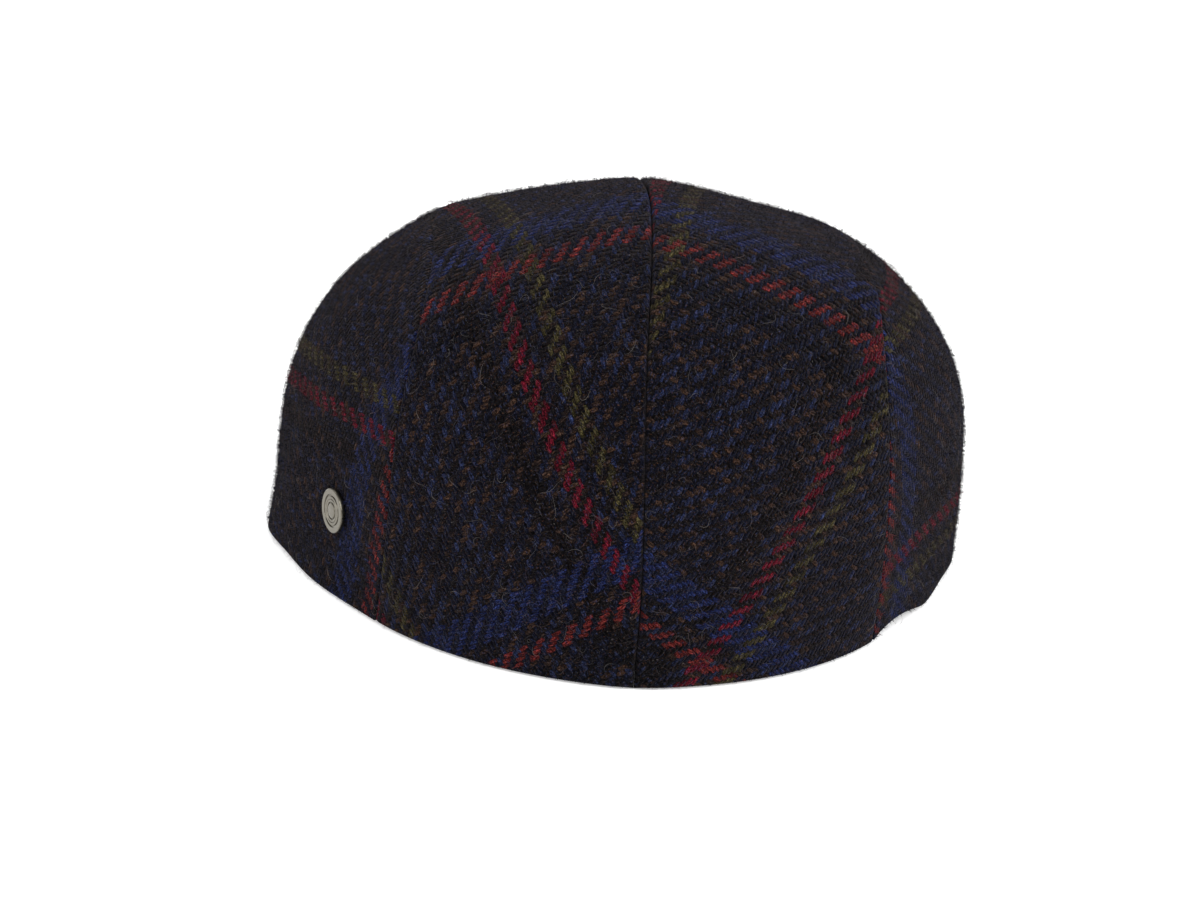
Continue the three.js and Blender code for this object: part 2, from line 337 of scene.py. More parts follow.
def cloth_grid(name, points):
    """A grid shaped to rows and columns of points, in millimetres."""
    rows, columns = points.shape[:2]
    deselect()
    bpy.ops.mesh.primitive_grid_add(x_subdivisions=columns - 1, y_subdivisions=rows - 1, size=1)
    made = bpy.context.object
    made.name = name
    made.data.name = name
    made.data.vertices.foreach_set("co", (points * MM).ravel())
    made.data.update()
    return made


def corners_of(mesh):
    index = np.zeros(len(mesh.loops), int)
    mesh.loops.foreach_get("vertex_index", index)
    return index


def grid_area(points):
    diagonals = points[1:, 1:] - points[:-1, :-1], points[1:, :-1] - points[:-1, 1:]
    if points.shape[-1] == 2:
        a, b = diagonals
        return 0.5 * np.abs(a[..., 0] * b[..., 1] - a[..., 1] * b[..., 0]).sum()
    return 0.5 * np.linalg.norm(np.cross(*diagonals), axis=-1).sum()


PATTERN_ROWS = 81
PATTERN_COLUMNS = 19


def flat_pattern(point, ends, hand):
    """The panel laid flat, in millimetres: up the seam from its first section is +y."""
    sections, u = np.meshgrid(
        np.linspace(*ends, PATTERN_ROWS), np.linspace(0, 1, PATTERN_COLUMNS), indexing="ij")
    shaped = point(sections, u, hand)
    helper = cloth_grid("pattern", shaped)
    edit_all()
    if hand > 0:
        bpy.ops.mesh.flip_normals()
    bpy.ops.uv.unwrap(method="MINIMUM_STRETCH", iterations=30, no_flip=False, margin=0, fill_holes=False)
    object_mode()
    uv = np.zeros(2 * len(helper.data.loops))
    helper.data.uv_layers.active.data.foreach_get("uv", uv)
    flat = np.zeros((PATTERN_ROWS * PATTERN_COLUMNS, 2))
    flat[corners_of(helper.data)] = uv.reshape(-1, 2)
    flat = flat.reshape(PATTERN_ROWS, PATTERN_COLUMNS, 2)
    bpy.data.objects.remove(helper)
    flat *= math.sqrt(grid_area(shaped) / grid_area(flat))
    along = np.gradient(flat, axis=0)
    across = np.gradient(flat, axis=1)
    turn = np.median(along[..., 0] * across[..., 1] - along[..., 1] * across[..., 0]) * hand
    if turn < 0:
        flat[..., 0] *= -1
    first = np.abs(sections[:, 0] - 1).argmin()
    third = np.abs(sections[:, 0] - 3).argmin()
    up = unit(flat[third, 0] - flat[first, 0])
    side = np.array([up[1], -up[0]])
    flat = flat - flat[first, 0]
    return np.stack([flat @ side, flat @ up], -1)


def on_pattern(flat, ends, sections, u):
    """Places on the flat pattern for sections and places across."""
    row = np.clip((sections - ends[0]) / (ends[1] - ends[0]), 0, 1) * (PATTERN_ROWS - 1)
    column = np.clip(u, 0, 1) * (PATTERN_COLUMNS - 1)
    i = np.minimum(row.astype(int), PATTERN_ROWS - 2)
    j = np.minimum(column.astype(int), PATTERN_COLUMNS - 2)
    a = (row - i)[..., None]
    b = (column - j)[..., None]
    low = flat[i, j] * (1 - b) + flat[i, j + 1] * b
    high = flat[i + 1, j] * (1 - b) + flat[i + 1, j + 1] * b
    return low * (1 - a) + high * a


def heading(degrees):
    return np.array([math.cos(math.radians(degrees)), math.sin(math.radians(degrees))])


def yarn_counts(flat, lay, eased):
    """Ends across and picks along, counted from the red stripe and the bright bar."""
    across, along, crossing, give = lay
    c = (flat - crossing) @ heading(across)
    c = np.where(c < 0, c * give, c)
    w = (flat - crossing) @ heading(along)
    if eased:
        near = np.clip(w, EASE_BEFORE, EASE_LENGTH)
        eased_w = EASE_START * near + EASE_GAIN * near ** 2 / EASE_LENGTH
        w = eased_w + (w - near)
    return np.stack([c / END_PITCH + 2, w / PICK_PITCH + 2], -1)


def give_thickness(obj, outer, inner, yarns, hand):
    """Closes a grid into a wall with an outer and an inner face, and keeps its cloth coordinates."""
    only(obj)
    if hand > 0:
        edit_all()
        bpy.ops.mesh.flip_normals()
        object_mode()
    layer = obj.data.uv_layers.active
    layer.name = "cloth"
    layer.data.foreach_set("uv", yarns.reshape(-1, 2)[corners_of(obj.data)].ravel())
    wall = obj.modifiers.new("wall", "SOLIDIFY")
    wall.thickness = WALL * MM
    wall.offset = -1
    bpy.ops.object.modifier_apply(modifier=wall.name)
    both = np.concatenate([outer.reshape(-1, 3), inner.reshape(-1, 3)]) * MM
    obj.data.vertices.foreach_set("co", both.ravel())
    obj.data.update()
    bpy.ops.object.shade_smooth()


TOP_ROWS = 230
TOP_COLUMNS = 60
SIDE_ROWS = 210
SIDE_COLUMNS = 66
panels = {}


def lengths_along(points, axis):
    """Distance of each point from the first edge, along one way of the grid."""
    steps = np.linalg.norm(np.diff(points, axis=axis), axis=-1)
    pad = [(0, 0), (0, 0)]
    pad[axis] = (1, 0)
    return np.cumsum(np.pad(steps, pad), axis=axis)


def top_panel(name, hand, seed):
    """A long panel beside the centre seam, from the back rim to the front edge."""
    ends = (0, LAST)
    sections, u = np.meshgrid(
        LAST * crowded(TOP_ROWS, 0.8), crowded(TOP_COLUMNS, 0.8), indexing="ij")
    width = np.linalg.norm(centre_seam(sections, hand) - side_seam(sections, hand), axis=-1)
    margin = CENTRE_GAP / 2 / width
    u = margin + (1 - margin - SIDE_GAP / 2 / width) * u
    outer = top_point(sections, u, hand)
    outward = upright(outward_of(top_point, sections, u, hand), sections)
    from_centre = u * width
    from_side = (1 - u) * width
    by_centre = near_edge(from_centre, SEAM_TURN_WIDTH)
    by_side = near_edge(from_side, SEAM_TURN_WIDTH)
    outward = lerp_to(outward, centre_seam_outward(sections), by_centre)
    outward = lerp_to(outward, side_seam_outward(sections, hand), by_side)
    inner = outer - outward * WALL
    for end in (0, -1):
        inner[end, :, 2] = rim_height(inner[end, :, 0], inner[end, :, 1])
    along = lengths_along(outer, 0)
    from_end = np.minimum(along, along[-1:] - along)
    off_ends = off_edge(from_end, FLAT_AT_ENDS)
    relief = SWELL_DEPTH * swell(outer, SWELL_SIZE, seed) * off_ends
    relief *= off_edge(np.minimum(from_centre, from_side), FLAT_AT_SEAMS)
    relief += pucker(from_centre, sections, 0.4 + hand) * off_ends
    relief -= seam_sink(from_centre, CENTRE_ROLL) + seam_sink(from_side, SIDE_ROLL)
    turn = hem_turn(from_end)
    shaped = outer + outward * (relief - turn)[..., None]
    across = unit(np.gradient(outer, axis=1))
    allowance = SIDE_ALLOWANCE * near_edge(from_side, ALLOWANCE_WIDTH)
    allowance -= CENTRE_ALLOWANCE * near_edge(from_centre, ALLOWANCE_WIDTH)
    inner = inner + outward * turn[..., None] + across * allowance[..., None]
    flat = flat_pattern(top_point, ends, hand)
    yarns = yarn_counts(on_pattern(flat, ends, sections, u), LAYS[name], True)
    obj = cloth_grid("crown_" + name + "_cloth", shaped)
    give_thickness(obj, shaped, inner, yarns, hand)
    panels[name] = dict(obj=obj, shaped=shaped, outward=outward, yarns=yarns, flat=flat)


def side_panel(name, hand, seed):
    """A side panel between its seam and the rim."""
    ends = SIDE_PATTERN_ENDS
    sections, u = np.meshgrid(
        np.linspace(SIDE_BACK_END, SIDE_FRONT_END, SIDE_ROWS), crowded(SIDE_COLUMNS, 0.8), indexing="ij")
    width = np.linalg.norm(side_seam(sections, hand) - rim(sections, hand), axis=-1)
    margin = SIDE_GAP / 2 / width
    u = margin + (1 - margin) * u
    outer = side_point(sections, u, hand)
    outward = outward_of(side_point, sections, u, hand)
    from_seam = u * width
    from_rim = (1 - u) * width
    by_seam = near_edge(from_seam, SEAM_TURN_WIDTH)
    outward = lerp_to(outward, side_seam_outward(sections, hand), by_seam)
    level = outward.copy()
    level[..., 2] = 0
    outward = lerp_to(outward, unit(level), near_edge(from_rim, RIM_TURN_WIDTH))
    inner = outer - outward * WALL
    inner[:, -1, 2] = rim_height(inner[:, -1, 0], inner[:, -1, 1]) + loose_lift(sections[:, -1], hand)
    inside = off_edge(np.minimum(from_seam, from_rim), FLAT_AT_SEAMS)
    relief = SWELL_DEPTH * swell(outer, SWELL_SIZE, seed) * inside
    relief -= seam_sink(from_seam, SIDE_ROLL) * off_edge(width, FLAT_AT_ENDS)
    turn = hem_turn(from_rim)
    shaped = outer + outward * (relief - turn)[..., None]
    across = unit(np.gradient(outer, axis=1))
    allowance = SIDE_ALLOWANCE * near_edge(from_seam, ALLOWANCE_WIDTH)
    inner = inner + outward * turn[..., None] - across * allowance[..., None]
    flat = flat_pattern(side_point, ends, hand)
    yarns = yarn_counts(on_pattern(flat, ends, sections, u), LAYS[name], False)
    obj = cloth_grid("crown_" + name + "_cloth", shaped)
    give_thickness(obj, shaped, inner, yarns, hand)
    panels[name] = dict(obj=obj, shaped=shaped, outward=outward, yarns=yarns, flat=flat)


PEAK_ROWS = 120
PEAK_COLUMNS = 44
PEAK_EDGE_ROUND = 1.5


def peak_panel():
    """The covered peak: its two faces close on each other in a round edge."""
    angle, k = np.meshgrid(
        math.pi * crowded(PEAK_ROWS, 0.6), crowded(PEAK_COLUMNS, 0.85), indexing="ij")
    x = (PEAK_OUTER_X + (PEAK_INNER_X - PEAK_OUTER_X) * k) * np.cos(angle)
    y = PEAK_CENTRE_Y - (PEAK_OUTER_Y + (PEAK_INNER_Y - PEAK_OUTER_Y) * k) * np.sin(angle)
    upper = np.stack([x, y, peak_top(x, y)], -1)
    lower = upper - (0, 0, PEAK_THICKNESS)
    across = lengths_along(upper, 1)
    left = np.clip(PEAK_EDGE_ROUND - across, 0, PEAK_EDGE_ROUND)
    turn = PEAK_EDGE_ROUND - np.sqrt(np.maximum(PEAK_EDGE_ROUND ** 2 - left ** 2, 0))
    upper[..., 2] -= turn
    lower[..., 2] += turn
    edge_x = np.cos(angle) / PEAK_OUTER_X
    edge_y = -np.sin(angle) / PEAK_OUTER_Y
    over_edge = turn / np.hypot(edge_x, edge_y)
    yarns = np.stack([
        (x + edge_x * over_edge) / END_PITCH,
        (y + edge_y * over_edge) / PICK_PITCH + PEAK_FIRST_PICK,
    ], -1)
    obj = cloth_grid("peak_cloth", upper)
    give_thickness(obj, upper, lower, yarns, 1)
    only(obj)
    edit_all()
    bpy.ops.mesh.normals_make_consistent(inside=False)
    object_mode()
    outward = np.zeros_like(upper)
    outward[..., 2] = 1
    panels["peak"] = dict(obj=obj, shaped=upper, outward=outward, yarns=yarns)


def badge_place():
    section = np.array(BADGE_SECTION)
    u = np.array(BADGE_ACROSS)
    foot = Vector(side_point(section, u, 1) * MM)
    outward = Vector(outward_of(side_point, section, u, 1))
    turn = Vector((0, 0, 1)).rotation_difference(outward)
    return Matrix.Translation(foot) @ turn.to_matrix().to_4x4()


def turned(name, profile, sides):
    """A solid turned about Z from radius and height in millimetres, ring after ring."""
    radius, height = profile[0]
    deselect()
    bpy.ops.mesh.primitive_circle_add(
        vertices=sides, radius=radius * MM, fill_type="NOTHING", location=(0, 0, height * MM))
    made = bpy.context.object
    made.name = name
    made.data.name = name
    bpy.ops.object.transform_apply(location=True, rotation=False, scale=False)
    edit_all()
    bpy.ops.mesh.edge_face_add()
    bpy.ops.mesh.select_all(action="SELECT")
    bpy.ops.mesh.select_mode(type="EDGE")
    for next_radius, next_height in profile[1:]:
        bpy.ops.mesh.extrude_edges_move(
            TRANSFORM_OT_translate={"value": (0, 0, (next_height - height) * MM)})
        grow = next_radius / radius
        bpy.ops.transform.resize(value=(grow, grow, 1), center_override=(0, 0, next_height * MM))
        radius, height = next_radius, next_height
    bpy.ops.mesh.edge_face_add()
    bpy.ops.mesh.select_mode(type="VERT")
    bpy.ops.mesh.select_all(action="SELECT")
    bpy.ops.mesh.normals_make_consistent(inside=False)
    object_mode()
    return made


def rounded_groove(inside, outside, face, depth):
    """The profile of an engraved ring, from its outer lip to its inner lip."""
    middle = (inside + outside) / 2
    return [
        (outside + RING_LIP, face), (outside, face - 0.04), (outside - 0.1, face - depth),
        (middle, face - depth - 0.03), (inside + 0.1, face - depth),
        (inside, face - 0.04), (inside - RING_LIP, face),
    ]


def badge():
    """A turned metal disc with a flat rim, engraved rings and a low middle, on a post with a keeper."""
    under = BADGE_GAP
    face = under + BADGE_THICKNESS
    front = -WALL - BADGE_GAP
    back = front - KEEPER_THICKNESS
    profile = [(KEEPER_RADIUS - 0.2, back), (KEEPER_RADIUS, back + 0.2), (KEEPER_RADIUS, front - 0.1)]
    profile += [(KEEPER_RADIUS - 0.1, front), (POST_RADIUS, front), (POST_RADIUS, under)]
    profile += [(BADGE_RADIUS - 0.4, under), (BADGE_RADIUS - 0.1, under + 0.12)]
    profile += [(BADGE_RADIUS, under + 0.35), (BADGE_RADIUS, face - 0.3)]
    profile += [(BADGE_RADIUS - 0.07, face - 0.1), (BADGE_RADIUS - 0.25, face)]
    for inside, outside, depth in RINGS:
        profile += rounded_groove(inside, outside, face, depth)
    profile += [(1.4, face + 0.02), (0.7, face + 0.05)]
    made = turned("badge_disc", profile, BADGE_SIDES)
    made.data.transform(badge_place())
    only(made)
    bpy.ops.object.shade_smooth_by_angle(angle=math.radians(BADGE_CREASE))
    return made


# Colours of the yarns, as linear light
NAVY_WARP = (0.0034, 0.0041, 0.0086)
BLUE_WARP = (0.0060, 0.0084, 0.0225)
RED_WARP = (0.0480, 0.0028, 0.0068)
OLIVE_WARP = (0.0225, 0.0190, 0.0078)
BLACK_WARP = (0.0020, 0.0018, 0.0020)
BROWN_WEFT = (0.0044, 0.0038, 0.0042)
RUST_WEFT = (0.0155, 0.0084, 0.0056)
BLUE_WEFT = (0.0058, 0.0092, 0.0345)
BRIGHT_WEFT = (0.0560, 0.0078, 0.0072)
BLACK_WEFT = (0.0024, 0.0024, 0.0030)
RUST_FLECK = (0.0420, 0.0190, 0.0095)
SKY_FLECK = (0.0165, 0.0205, 0.0460)
PALE_FLECK = (0.0600, 0.0560, 0.0540)

# Share of the floats that stay plain, before they turn to the second colour
PLAIN_WARP = 0.62
PLAIN_WEFT = 0.52
# Flecks: how often across and along in a yarn, their level, where they begin and are full, and strength
SKY_FLECKS = (2.2, 0.9, 17.0, 0.56, 0.70, 0.7)
RUST_FLECKS = (1.6, 3.0, 9.0, 0.58, 0.70, 0.65)
PALE_FLECKS = (3.3, 2.1, 29.0, 0.63, 0.74, 0.7)
# Yarns: how they wander, how round they are, how high a float rises, and streaks along them
WANDER_SIZE = 0.45
WANDER = 1.05
YARN_ROUND = 0.85
FLOAT_RISE = 0.75
FLOAT_EDGE = 0.12
STREAKS_ACROSS = 4.6
STREAKS_ALONG = 0.9
STREAK_CONTRAST = 3.0
# Painted shade in the crevices between yarns: the weave heights where it is darkest and where it ends
CREVICE_SHADE_LOW = -0.15
CREVICE_SHADE_HIGH = 1.45


class Nodes:
    """Short ways to add nodes to one node tree."""

    def __init__(self, tree):
        self.tree = tree

    def add(self, kind, **settings):
        made = self.tree.nodes.new(kind)
        for name, value in settings.items():
            setattr(made, name, value)
        return made

    def put(self, value, socket):
        if isinstance(value, bpy.types.NodeSocket):
            self.tree.links.new(value, socket)
        else:
            socket.default_value = value

    def math(self, operation, *values):
        made = self.add("ShaderNodeMath", operation=operation)
        for value, socket in zip(values, made.inputs):
            self.put(value, socket)
        return made.outputs[0]

    def mix(self, factor, first, second, blend="MIX"):
        made = self.add("ShaderNodeMix", data_type="RGBA", blend_type=blend)
        self.put(factor, made.inputs["Factor"])
        colours = [s for s in made.inputs if s.type == "RGBA"]
        for value, socket in zip((first, second), colours):
            self.put(value if isinstance(value, bpy.types.NodeSocket) else (*value, 1), socket)
        return next(s for s in made.outputs if s.type == "RGBA")

    def step(self, value, low, high):
        made = self.add("ShaderNodeMapRange", interpolation_type="SMOOTHSTEP")
        self.put(value, made.inputs["Value"])
        made.inputs["From Min"].default_value = low
        made.inputs["From Max"].default_value = high
        return made.outputs["Result"]

    def place(self, x, y, z=0.0):
        made = self.add("ShaderNodeCombineXYZ")
        for value, socket in zip((x, y, z), made.inputs):
            self.put(value, socket)
        return made.outputs[0]

    def chance(self, vector):
        made = self.add("ShaderNodeTexWhiteNoise", noise_dimensions="3D")
        self.put(vector, made.inputs["Vector"])
        return made.outputs["Value"]

    def speckle(self, vector, scale, detail=2.0, roughness=0.5):
        made = self.add("ShaderNodeTexNoise", noise_dimensions="3D")
        self.put(vector, made.inputs["Vector"])
        made.inputs["Scale"].default_value = scale
        made.inputs["Detail"].default_value = detail
        made.inputs["Roughness"].default_value = roughness
        return made.outputs["Fac"]


def band(n, count, middle, half):
    """One where a yarn's number is within half of the middle one."""
    return n.math("COMPARE", count, middle, half)


def twill_group():
    """Two by two twill of check yarns: its colour with painted shade in the crevices between yarns, its
    height and the plain colour of the yarn on top.
    """
    tree = bpy.data.node_groups.new("Check twill", "ShaderNodeTree")
    tree.interface.new_socket("Yarns", in_out="INPUT", socket_type="NodeSocketVector")
    tree.interface.new_socket("Colour", in_out="OUTPUT", socket_type="NodeSocketColor")
    tree.interface.new_socket("Height", in_out="OUTPUT", socket_type="NodeSocketFloat")
    tree.interface.new_socket("Yarn colour", in_out="OUTPUT", socket_type="NodeSocketColor")
    n = Nodes(tree)
    source = n.add("NodeGroupInput").outputs["Yarns"]
    split = n.add("ShaderNodeSeparateXYZ")
    n.put(source, split.inputs[0])
    away = n.place(n.math("ADD", split.outputs[0], 91.7), split.outputs[1])

    def wander(place):
        off = n.math("SUBTRACT", n.speckle(place, WANDER_SIZE, 3.0), 0.5)
        return n.math("MULTIPLY", off, WANDER)

    c = n.math("ADD", split.outputs[0], wander(source))
    w = n.math("ADD", split.outputs[1], wander(away))
    end = n.math("FLOOR", c)
    pick = n.math("FLOOR", w)

    def crown_of(yarn, whole):
        off = n.math("SUBTRACT", n.math("SUBTRACT", yarn, whole), 0.5)
        return n.math("SUBTRACT", 1.0, n.math("MULTIPLY", n.math("MULTIPLY", off, off), 4.0))

    quarter = math.pi / 2
    warp_wave = n.math("SINE", n.math("MULTIPLY", n.math("ADD", w, end), quarter))
    weft_wave = n.math("SINE", n.math("MULTIPLY", n.math("ADD", c, pick), quarter))
    warp_rise = n.math("MULTIPLY", warp_wave, FLOAT_RISE)
    weft_rise = n.math("MULTIPLY", weft_wave, -FLOAT_RISE)
    warp_high = n.math("MULTIPLY_ADD", crown_of(c, end), YARN_ROUND, warp_rise)
    weft_high = n.math("MULTIPLY_ADD", crown_of(w, pick), YARN_ROUND, weft_rise)
    warp_shows = n.step(n.math("SUBTRACT", warp_high, weft_high), -FLOAT_EDGE, FLOAT_EDGE)
    height = n.math("SMOOTH_MAX", warp_high, weft_high, 0.15)

    def float_chance(yarn, along, level):
        number = n.math("FLOOR", n.math("MULTIPLY", n.math("ADD", along, yarn), 0.25))
        return n.chance(n.place(yarn, number, level))

    warp_float = float_chance(end, w, 3.0)
    weft_float = float_chance(pick, c, 7.0)
    end_place = n.math("FLOORED_MODULO", end, float(REPEAT_ENDS))
    pick_place = n.math("FLOORED_MODULO", pick, float(REPEAT_PICKS))
    warp = n.mix(n.step(warp_float, PLAIN_WARP, 1.0), NAVY_WARP, BLUE_WARP)
    warp = n.mix(band(n, end_place, *RED_STRIPE), warp, RED_WARP)
    warp = n.mix(band(n, end_place, *OLIVE_STRIPE), warp, OLIVE_WARP)
    warp = n.mix(band(n, end_place, *BLACK_STRIPE), warp, BLACK_WARP)
    weft = n.mix(n.step(weft_float, PLAIN_WEFT, 1.0), BROWN_WEFT, RUST_WEFT)
    weft = n.mix(band(n, pick_place, *BRIGHT_BAR), weft, BRIGHT_WEFT)
    weft = n.mix(band(n, pick_place, *BLACK_BAR), weft, BLACK_WEFT)
    weft = n.mix(band(n, pick_place, *BLUE_BAR), weft, BLUE_WEFT)

    def spread(across, along, level):
        return n.place(n.math("MULTIPLY", c, across), n.math("MULTIPLY", w, along), level)

    warp_streak = n.speckle(spread(STREAKS_ACROSS, STREAKS_ALONG, 0.0), 1.0, 3.0)
    weft_streak = n.speckle(spread(STREAKS_ALONG, STREAKS_ACROSS, 5.0), 1.0, 3.0)

    def shaded(colour, streak, chance):
        fibres = n.math("POWER", n.math("MULTIPLY", streak, 2.0), STREAK_CONTRAST)
        float_shade = n.math("MULTIPLY_ADD", chance, 0.9, 0.55)
        return n.mix(1.0, colour, n.math("MULTIPLY", fibres, float_shade), "MULTIPLY")

    plain = n.mix(warp_shows, weft, warp)
    shaded_weft = shaded(weft, weft_streak, weft_float)
    shaded_warp = shaded(warp, warp_streak, warp_float)
    colour = n.mix(warp_shows, shaded_weft, shaded_warp)

    def flecks(colour, tint, across, along, level, low, high, weight):
        found = n.step(n.speckle(spread(across, along, level), 1.0, 2.0), low, high)
        shows = n.math("MULTIPLY", found, weight)
        return n.mix(shows, colour, tint)

    colour = flecks(colour, SKY_FLECK, *SKY_FLECKS)
    colour = flecks(colour, RUST_FLECK, *RUST_FLECKS)
    colour = flecks(colour, PALE_FLECK, *PALE_FLECKS)
    grain = n.speckle(spread(2.7, 2.9, 41.0), 1.0, 3.0, 0.7)
    grain_shade = n.math("MULTIPLY_ADD", n.step(grain, 0.36, 0.70), 2.1, 0.1)
    colour = n.mix(1.0, colour, grain_shade, "MULTIPLY")

    # Painted shade: the colour is darkened in the crevices between yarns, where the weave is low
    crevice_shade = n.step(height, CREVICE_SHADE_LOW, CREVICE_SHADE_HIGH)
    depth = n.math("MULTIPLY_ADD", crevice_shade, 1.16, 0.04)
    colour = n.mix(1.0, colour, depth, "MULTIPLY")
    streaks = n.math("ADD", warp_streak, weft_streak)
    fibre = n.math("MULTIPLY_ADD", streaks, 0.3, n.math("MULTIPLY", grain, 0.9))
    out = n.add("NodeGroupOutput")
    n.put(colour, out.inputs["Colour"])
    n.put(n.math("ADD", height, fibre), out.inputs["Height"])
    n.put(plain, out.inputs["Yarn colour"])
    return tree


def material(name):
    made = bpy.data.materials.new(name)
    made.use_nodes = True
    n = Nodes(made.node_tree)
    return made, n, made.node_tree.nodes["Principled BSDF"]


def tweed_material(twill):
    made, n, shader = material("Checked tweed")
    yarns = n.add("ShaderNodeUVMap", uv_map="cloth")
    weave = n.add("ShaderNodeGroup", node_tree=twill)
    n.put(yarns.outputs["UV"], weave.inputs["Yarns"])
    n.put(weave.outputs["Colour"], shader.inputs["Base Color"])
    shader.inputs["Roughness"].default_value = 0.92
    shader.inputs["Specular IOR Level"].default_value = 0.02
    shader.inputs["Sheen Weight"].default_value = 0.045
    shader.inputs["Sheen Roughness"].default_value = 0.4
    shader.inputs["Sheen Tint"].default_value = (0.70, 0.63, 0.70, 1)
    bump = n.add("ShaderNodeBump")
    bump.inputs["Distance"].default_value = 0.00045
    bump.inputs["Strength"].default_value = 0.9
    n.put(weave.outputs["Height"], bump.inputs["Height"])
    n.put(bump.outputs["Normal"], shader.inputs["Normal"])
    return made


def wool_material(twill):
    """Loose fibres: each takes its shade from the shade map and its hue from the yarn at its foot."""
    made, n, shader = material("Loose wool")
    shade = n.add("ShaderNodeUVMap", uv_map="shade")
    split = n.add("ShaderNodeSeparateXYZ")
    n.put(shade.outputs["UV"], split.inputs[0])
    ramp = n.add("ShaderNodeValToRGB")
    shades = [
        (0.0, (0.005, 0.006, 0.011)), (0.35, (0.010, 0.012, 0.026)), (0.55, (0.018, 0.013, 0.012)),
        (0.75, (0.038, 0.024, 0.018)), (0.9, (0.060, 0.056, 0.062)), (1.0, (0.150, 0.135, 0.125)),
    ]
    ramp.color_ramp.elements[0].position = shades[0][0]
    ramp.color_ramp.elements[0].color = (*shades[0][1], 1)
    ramp.color_ramp.elements[1].position = shades[-1][0]
    ramp.color_ramp.elements[1].color = (*shades[-1][1], 1)
    for place, colour in shades[1:-1]:
        ramp.color_ramp.elements.new(place).color = (*colour, 1)
    n.put(split.outputs[0], ramp.inputs["Fac"])
    yarns = n.add("ShaderNodeUVMap", uv_map="cloth")
    weave = n.add("ShaderNodeGroup", node_tree=twill)
    n.put(yarns.outputs["UV"], weave.inputs["Yarns"])
    bright = n.math("MULTIPLY_ADD", split.outputs[0], FIBRE_GAIN, 0.5)
    dyed = n.mix(1.0, weave.outputs["Yarn colour"], bright, "MULTIPLY")
    n.put(n.mix(split.outputs[1], ramp.outputs["Color"], dyed), shader.inputs["Base Color"])
    shader.inputs["Roughness"].default_value = 0.85
    shader.inputs["Specular IOR Level"].default_value = 0.05
    return made


def badge_material():
    made, n, shader = material("Satin nickel")
    place = n.add("ShaderNodeTexCoord").outputs["Object"]
    wear = n.speckle(place, 900.0, 3.0, 0.6)
    haze = n.speckle(place, 160.0, 2.0)
    colour = n.mix(haze, (0.105, 0.096, 0.076), (0.165, 0.152, 0.122))
    n.put(colour, shader.inputs["Base Color"])
    shader.inputs["Metallic"].default_value = 1.0
    n.put(n.math("MULTIPLY_ADD", wear, 0.2, 0.2), shader.inputs["Roughness"])
    bump = n.add("ShaderNodeBump")
    bump.inputs["Distance"].default_value = 0.00004
    bump.inputs["Strength"].default_value = 0.5
    n.put(wear, bump.inputs["Height"])
    n.put(bump.outputs["Normal"], shader.inputs["Normal"])
    return made


def floor_material():
    made, n, shader = material("Pale floor")
    shader.inputs["Base Color"].default_value = (0.9, 0.9, 0.9, 1)
    shader.inputs["Roughness"].default_value = 0.9
    shader.inputs["Specular IOR Level"].default_value = 0.1
    shader.inputs["Emission Color"].default_value = (1, 1, 1, 1)
    shader.inputs["Emission Strength"].default_value = 0.35
    return made


# Loose fibres on the cloth, in millimetres: short spikes of the nap and longer curled strays.
# The dyed share of a fibre's colour is the yarn's, and the rest is a shade of natural wool.
FIBRE_GAIN = 3.4
NAP_DYED = 0.7
STRAY_DYED = 0.15
SPIKES_PER_MM2 = {
    "top_left": 1.25, "top_right": 1.25, "side_left": 2.0, "side_right": 2.0, "peak": 1.25,
}
SPIKE_LENGTH = (0.9, 2.4)
SPIKE_RISE = (0.10, 0.75)
SPIKE_FOOT = 0.085
SPIKE_ROOT = 0.1
CURLS_PER_MM2 = 0.10
CURL_LENGTH = (2.0, 8.5)
CURL_BEND = 3.2
CURL_LIFT = (0.4, 1.5)
CURL_CLEARANCE = 0.15
CURL_RADIUS = 0.04
CURL_STEPS = 7
BARE_COLUMNS = 5
FLOOR_CLEARANCE = 0.05
NAP_SEED = 20
CURL_SEED = 40


def surface_picks(panel, density, draw):
    """Random places on a panel's outer face away from its seams, with directions and yarns."""
    points = panel["shaped"]
    corner = points[:-1, :-1]
    along = points[1:, :-1] - corner
    across = points[:-1, 1:] - corner
    area = np.linalg.norm(np.cross(along, across), axis=-1)
    area[:, :BARE_COLUMNS] = 0
    area[:, -BARE_COLUMNS:] = 0
    count = int(area.sum() * density)
    share = np.cumsum(area.ravel()) / area.sum()
    cell = np.minimum(np.searchsorted(share, draw.random(count)), share.size - 1)
    i, j = np.divmod(cell, area.shape[1])
    a = draw.random((count, 1))
    b = draw.random((count, 1))
    foot = corner[i, j] + along[i, j] * a + across[i, j] * b
    outward = panel["outward"][i, j]
    ahead = unit(along[i, j])
    beside = unit(np.cross(outward, ahead))
    yarns = panel["yarns"]
    at = yarns[i, j] + (yarns[i + 1, j] - yarns[i, j]) * a + (yarns[i, j + 1] - yarns[i, j]) * b
    return foot, outward, ahead, beside, at


